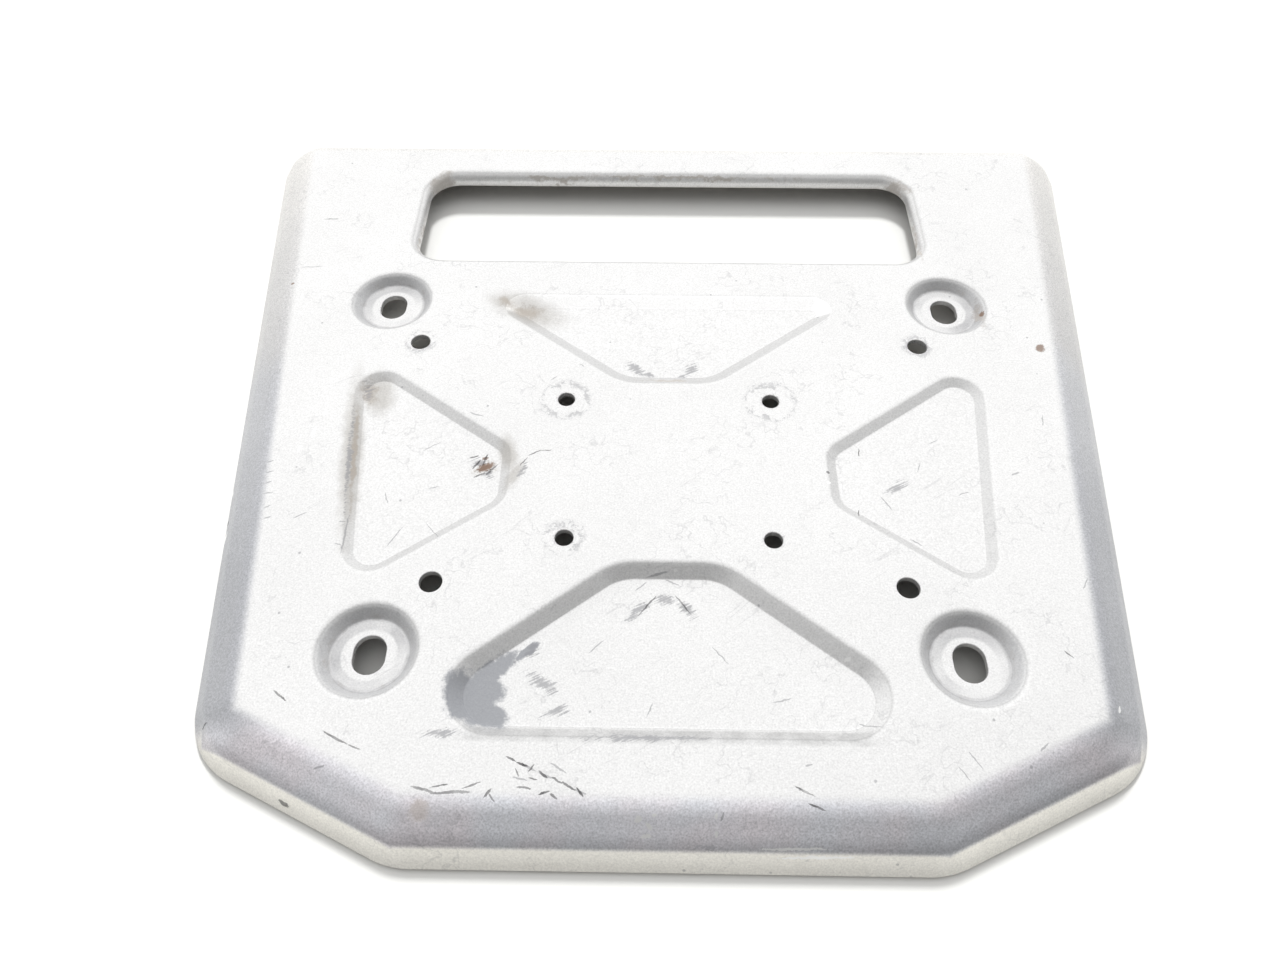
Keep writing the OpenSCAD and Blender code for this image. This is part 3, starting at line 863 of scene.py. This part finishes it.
def silver_paint():
    """Silver paint with a coarse flake, worn down to its primer and to the steel where luggage rubs, with
    painted shade, highlights and reflections.
    """
    material = bpy.data.materials.new("silver_paint")
    tree = Tree(material)
    skin = Skin(tree)
    wear = Wear(tree, skin)
    wear_seats(tree, skin, wear)
    wear_holes(tree, skin, wear)
    wear_rim(skin, wear)

    colour = paint_and_painted_light(tree, skin)
    # Painted shade is blended in with the smear, grime and scuff colours, and painted highlights with the
    # chip colour.
    for share, shown in (
        (wear.smear_and_shade * 0.75, SMEAR_AND_SHADE_COLOUR),
        (wear.haze.above(0.0, 0.75) * 0.4, HAZE_COLOUR),
        (wear.grime_and_shade * 0.5, GRIME_AND_SHADE_COLOUR),
        (light_marks(tree, skin, wear), SCUFF_AND_SHADE_COLOUR),
        (wear.scuff_and_shade * 0.7, SCUFF_AND_SHADE_COLOUR),
        (wear.rust * 0.8, RUST_COLOUR),
        (wear.scratch * (0.72 + skin.blotch), SCRATCH_COLOUR),
        (wear.chip_and_highlight * 0.9, CHIP_AND_HIGHLIGHT_COLOUR),
    ):
        colour = blend(tree, share, colour, shown)

    soiled_and_shaded = wear.grime_and_shade.larger(wear.rust).larger(wear.scuff_and_shade * 0.6).larger(wear.scratch)
    relief = noise(tree, skin.place, 1.6, 2.0)
    bump = tree.add("ShaderNodeBump", {}, {"Height": relief, "Strength": 0.2, "Distance": 0.0002})
    shader = tree.add("ShaderNodeBsdfPrincipled", {}, {
        "Base Color": colour,
        # Less metallic where the wear and the painted shade lie, on the rear pocket's wall with its painted
        # highlight, and in the smears.
        "Metallic": 0.75 - soiled_and_shaded.larger(skin.rear_wall).larger(wear.smear_and_shade * 0.8) * 0.7,
        "Roughness": 0.45 + soiled_and_shaded * 0.25 + skin.blotch * 0.1 - wear.chip_and_highlight * 0.1,
        "Normal": bump,
    })
    tree.add("ShaderNodeOutputMaterial", {}, {"Surface": shader})
    return material


# Studio

def plain_floor():
    material = bpy.data.materials.new("pale_floor")
    tree = Tree(material)
    shader = tree.add("ShaderNodeBsdfPrincipled", {}, {
        "Base Color": FLOOR_COLOUR, "Roughness": 0.9, "Specular IOR Level": 0.0
    })
    tree.add("ShaderNodeOutputMaterial", {}, {"Surface": shader})
    mesh = bpy.data.meshes.new("floor")
    bm = bmesh.new()
    bmesh.ops.create_grid(bm, x_segments=1, y_segments=1, size=FLOOR_HALF)
    bm.to_mesh(mesh)
    bm.free()
    floor = bpy.data.objects.new("floor", mesh)
    floor.data.materials.append(material)
    bpy.context.collection.objects.link(floor)


def studio_world():
    """A large soft light behind the rack and over it, a darker room on the camera's side, a pale horizon."""
    world = bpy.data.worlds.new("studio")
    bpy.context.scene.world = world
    tree = Tree(world)
    way = tree.add("ShaderNodeTexCoord", out="Generated")
    up = tree.add("ShaderNodeSeparateXYZ", {}, {0: way}, out=2)
    bright = Vector(BRIGHT_SIDE).normalized()
    near = tree.add("ShaderNodeVectorMath", {"operation": "DOT_PRODUCT"}, {0: way, 1: bright}, out=1)
    sky = SKY_DARK + near.above(DARK_BELOW, BRIGHT_ABOVE) * (SKY_BRIGHT - SKY_DARK)
    glow = HORIZON + up.above(HORIZON_LOW, HORIZON_HIGH) * (sky - HORIZON)
    tree.add("ShaderNodeOutputWorld", {}, {
        "Surface": tree.add("ShaderNodeBackground", {}, {"Color": (1, 1, 1, 1), "Strength": glow})
    })


def key_lamp():
    """A compact lamp above and behind the rack, which draws the shadows; the sky alone is mirrored."""
    data = bpy.data.lights.new("key_lamp", "AREA")
    data.shape = "DISK"
    data.size = KEY_SIZE
    data.energy = KEY_POWER
    lamp = bpy.data.objects.new("key_lamp", data)
    aim = Vector((KEY_SIDE, 1, tan(radians(KEY_ELEVATION)))).normalized()
    lamp.location = aim * KEY_DISTANCE
    lamp.rotation_euler = aim.to_track_quat("Z", "Y").to_euler()
    lamp.visible_glossy = False
    bpy.context.collection.objects.link(lamp)


def camera():
    data = bpy.data.cameras.new("camera")
    data.lens = LENS
    data.sensor_width = 36
    data.clip_start = 0.01
    view = bpy.data.objects.new("camera", data)
    view.location = Vector(CAMERA_PLACE) * MM
    turn = (
        Matrix.Rotation(radians(CAMERA_YAW), 3, "Z")
        @ Matrix.Rotation(radians(90 - CAMERA_PITCH), 3, "X")
        @ Matrix.Rotation(radians(CAMERA_ROLL), 3, "Z")
    )
    view.rotation_euler = turn.to_euler()
    bpy.context.collection.objects.link(view)
    bpy.context.scene.camera = view


plate = press_plate()
plate.data.materials.append(silver_paint())
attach(plate, "root")
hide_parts("rack_plate")
plain_floor()
studio_world()
key_lamp()
camera()
bpy.context.scene.view_settings.view_transform = "Standard"
